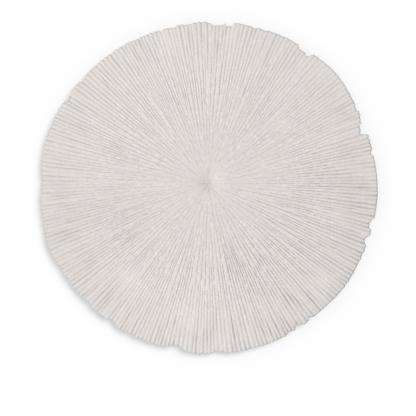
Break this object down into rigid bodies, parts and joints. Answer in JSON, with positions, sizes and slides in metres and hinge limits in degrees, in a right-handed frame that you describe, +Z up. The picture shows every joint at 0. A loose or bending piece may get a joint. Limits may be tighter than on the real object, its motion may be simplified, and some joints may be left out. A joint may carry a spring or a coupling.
{
  "type": "ribbed sand dollar",
  "caption": "Thin, gently domed natural disc with fine ribs that fan out from a central dimple to a worn rim. It lies flat, as a loose display piece.",
  "frame": {"origin": "on the surface it rests on, under the middle of the disc's box", "axes": "+Z up through the ribbed, domed top; +Y is the top of the picture, which looks straight down"},
  "size_m": [0.1212, 0.1198, 0.0077],
  "materials": {
    "chalk": "dry, matt, fine-grained off-white"
  },
  "bodies": {
    "root": {"sand_dollar": "chalk"}
  },
  "joints": []
}
